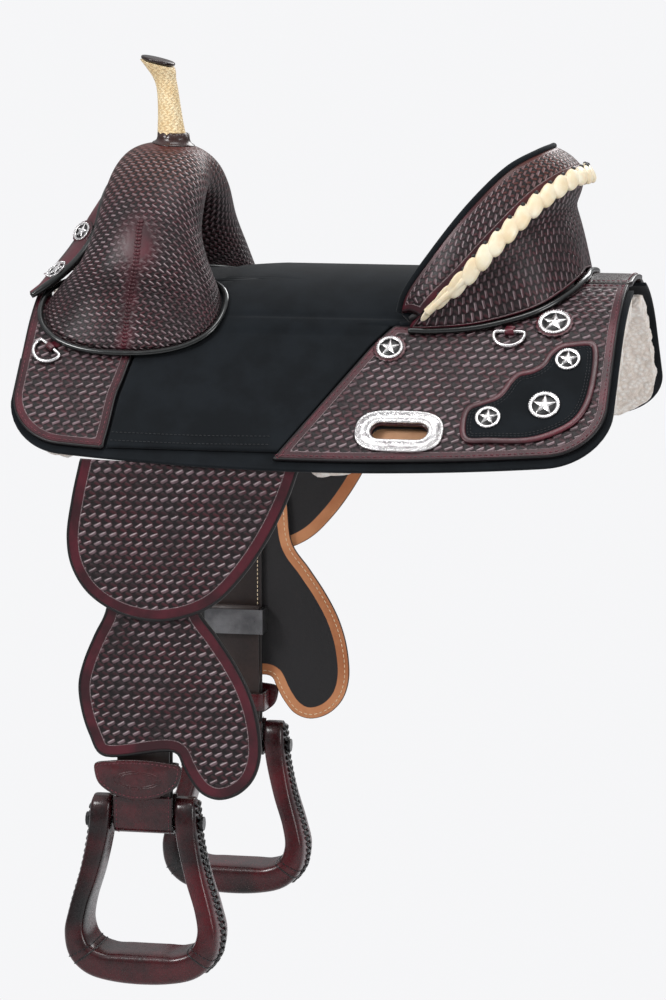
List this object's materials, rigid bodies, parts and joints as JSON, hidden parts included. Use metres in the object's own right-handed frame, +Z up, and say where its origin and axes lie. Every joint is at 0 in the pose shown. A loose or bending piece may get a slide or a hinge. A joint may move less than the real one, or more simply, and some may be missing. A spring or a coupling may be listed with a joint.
{
  "type": "western saddle",
  "caption": "Western saddle with swell fork, horn, laced cantle, suede seat, tooled leather jockeys, fenders and hanging stirrups that swing.",
  "frame": {"origin": "on the centre plane, on the line of the horse's back or rack ridge, about half way along the skirts", "axes": "the horse faces -X, +Z is up, the horse's left side is -Y"},
  "size_m": [0.6804, 0.515, 1.0254],
  "materials": {
    "tooled_leather": "basket-stamped burgundy leather with a glossy antique finish",
    "stirrup_leather": "smooth oxblood leather, glossy",
    "strap_leather": "smooth brown leather",
    "suede": "black suede, matt",
    "piping": "glossy black rolled edge",
    "rawhide": "cream rawhide",
    "fleece": "cream fleece",
    "silver": "engraved silver-plated steel",
    "steel": "satin steel",
    "tree_fibre": "moulded fibre and resin"
  },
  "bodies": {
    "root": {"fork_core": "tree_fibre", "fork_cover": "tooled_leather", "left_fork_piping": "piping", "right_fork_piping": "piping", "horn_core": "steel", "horn_wrap": "rawhide", "horn_cap": "strap_leather", "front_bridge": "tooled_leather", "rear_bridge": "strap_leather", "cantle_core": "tree_fibre", "cantle_facing": "suede", "cantle_band": "tooled_leather", "cantle_back_cover": "tooled_leather", "cantle_lacing": "rawhide", "cantle_piping": "piping", "seat_leather": "suede", "ground_seat": "tree_fibre", "left_bar": "tree_fibre", "left_fleece": "fleece", "left_skirt": "suede", "left_front_jockey": "tooled_leather", "left_rear_jockey": "tooled_leather", "left_suede_inlay": "suede", "left_rigging_plate": "silver", "left_front_dee_clip": "strap_leather", "left_rear_dee_clip": "strap_leather", "left_stirrup_hanger": "steel", "right_bar": "tree_fibre", "right_fleece": "fleece", "right_skirt": "suede", "right_front_jockey": "tooled_leather", "right_rear_jockey": "tooled_leather", "right_suede_inlay": "suede", "right_rigging_plate": "silver", "right_front_dee_clip": "strap_leather", "right_rear_dee_clip": "strap_leather", "right_stirrup_hanger": "steel"},
    "left_leather": {"left_stirrup_leather": "strap_leather", "left_fender": "tooled_leather", "left_hobble_strap": "stirrup_leather", "left_bolt_sleeve": "stirrup_leather", "left_buckle_plate": "steel"},
    "left_keeper": {"left_buckle_sleeve": "steel"},
    "left_stirrup": {"left_stirrup_frame": "stirrup_leather", "left_stirrup_bolt": "steel"},
    "left_flap": {"left_flap": "tooled_leather"},
    "left_front_dee": {"left_front_dee": "silver"},
    "left_rear_dee": {"left_rear_dee": "silver"},
    "right_leather": {"right_stirrup_leather": "strap_leather", "right_fender": "tooled_leather", "right_hobble_strap": "stirrup_leather", "right_bolt_sleeve": "stirrup_leather", "right_buckle_plate": "steel"},
    "right_keeper": {"right_buckle_sleeve": "steel"},
    "right_stirrup": {"right_stirrup_frame": "stirrup_leather", "right_stirrup_bolt": "steel"},
    "right_flap": {"right_flap": "tooled_leather"},
    "right_front_dee": {"right_front_dee": "silver"},
    "right_rear_dee": {"right_rear_dee": "silver"}
  },
  "joints": [
    {"name": "left_leather_swing", "type": "hinge", "parent": "root", "child": "left_leather", "pos_m": [-0.2, -0.2305, -0.152], "axis": [0, 1, 0], "range_deg": [-25, 25]},
    {"name": "left_stirrup_tilt", "type": "hinge", "parent": "left_leather", "child": "left_stirrup", "pos_m": [-0.2, -0.2235, -0.546], "axis": [1, 0, 0], "range_deg": [-40, 40]},
    {"name": "left_keeper_slide", "type": "slide", "parent": "left_leather", "child": "left_keeper", "axis": [0, 0, 1], "range_m": [0, 0.022]},
    {"name": "left_flap_lift", "type": "hinge", "parent": "root", "child": "left_flap", "pos_m": [-0.143, -0.2465, -0.144], "axis": [-1, 0, 0], "range_deg": [0, 50]},
    {"name": "left_front_dee_swing", "type": "hinge", "parent": "root", "child": "left_front_dee", "pos_m": [-0.322, -0.16212, -0.02205], "axis": [-0.766, 0.4301, 0.4777], "range_deg": [0, 95]},
    {"name": "left_rear_dee_swing", "type": "hinge", "parent": "root", "child": "left_rear_dee", "pos_m": [0.195, -0.13783, 0.0041], "axis": [-1, 0, 0], "range_deg": [0, 95]},
    {"name": "right_leather_swing", "type": "hinge", "parent": "root", "child": "right_leather", "pos_m": [-0.2, 0.2305, -0.152], "axis": [0, 1, 0], "range_deg": [-25, 25]},
    {"name": "right_stirrup_tilt", "type": "hinge", "parent": "right_leather", "child": "right_stirrup", "pos_m": [-0.2, 0.2235, -0.546], "axis": [1, 0, 0], "range_deg": [-40, 40]},
    {"name": "right_keeper_slide", "type": "slide", "parent": "right_leather", "child": "right_keeper", "axis": [0, 0, 1], "range_m": [0, 0.022]},
    {"name": "right_flap_lift", "type": "hinge", "parent": "root", "child": "right_flap", "pos_m": [-0.143, 0.2465, -0.144], "axis": [1, 0, 0], "range_deg": [0, 50]},
    {"name": "right_front_dee_swing", "type": "hinge", "parent": "root", "child": "right_front_dee", "pos_m": [-0.322, 0.16212, -0.02205], "axis": [0.766, 0.4301, -0.4777], "range_deg": [0, 95]},
    {"name": "right_rear_dee_swing", "type": "hinge", "parent": "root", "child": "right_rear_dee", "pos_m": [0.195, 0.13783, 0.0041], "axis": [1, 0, 0], "range_deg": [0, 95]}
  ]
}
